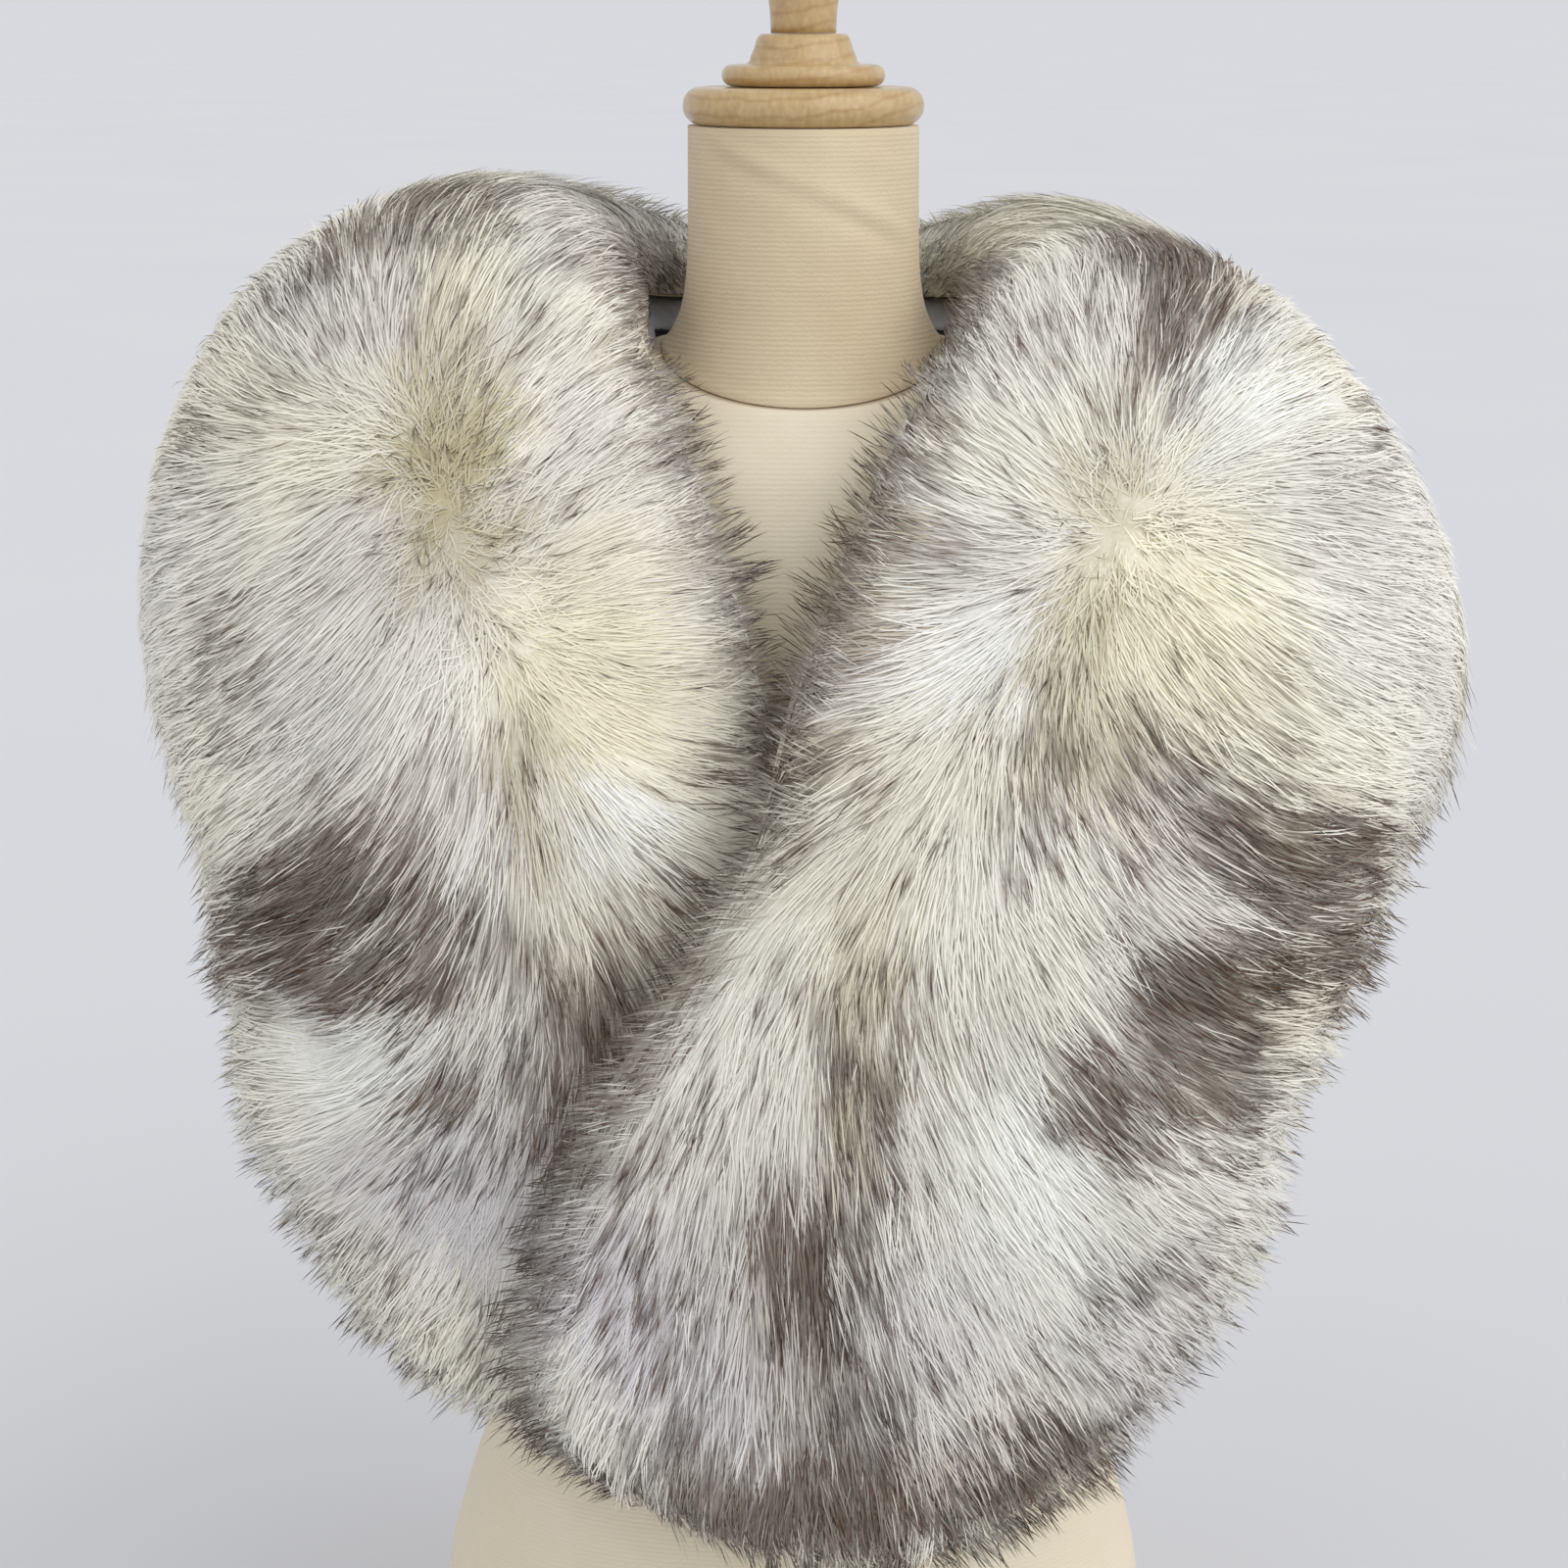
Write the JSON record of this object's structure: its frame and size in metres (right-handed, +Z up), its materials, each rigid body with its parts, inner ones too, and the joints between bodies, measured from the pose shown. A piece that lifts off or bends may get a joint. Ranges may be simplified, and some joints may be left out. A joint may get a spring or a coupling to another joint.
{
  "type": "fox fur shawl on a limbless dress form",
  "caption": "Deep-pile fur shawl wrapped round the shoulders of a limbless dress form, one front lapped over the other, with a turned wooden neck cap.",
  "frame": {"origin": "on the dress form's flat underside, below its neck", "axes": "+Z up, -Y towards the front, +X towards the viewer's right"},
  "size_m": [0.5978, 0.3941, 0.8513],
  "materials": {
    "fox_fur": "long soft pile",
    "lining_satin": "satin",
    "form_canvas": "matt woven canvas",
    "turned_wood": "clear varnish"
  },
  "bodies": {
    "root": {"fur_left": "fox_fur", "fur_right": "fox_fur", "lining_left": "lining_satin", "lining_right": "lining_satin", "form_torso": "form_canvas", "form_neck": "form_canvas", "cap_disc": "turned_wood", "cap_boss": "turned_wood", "cap_finial": "turned_wood"}
  },
  "joints": []
}
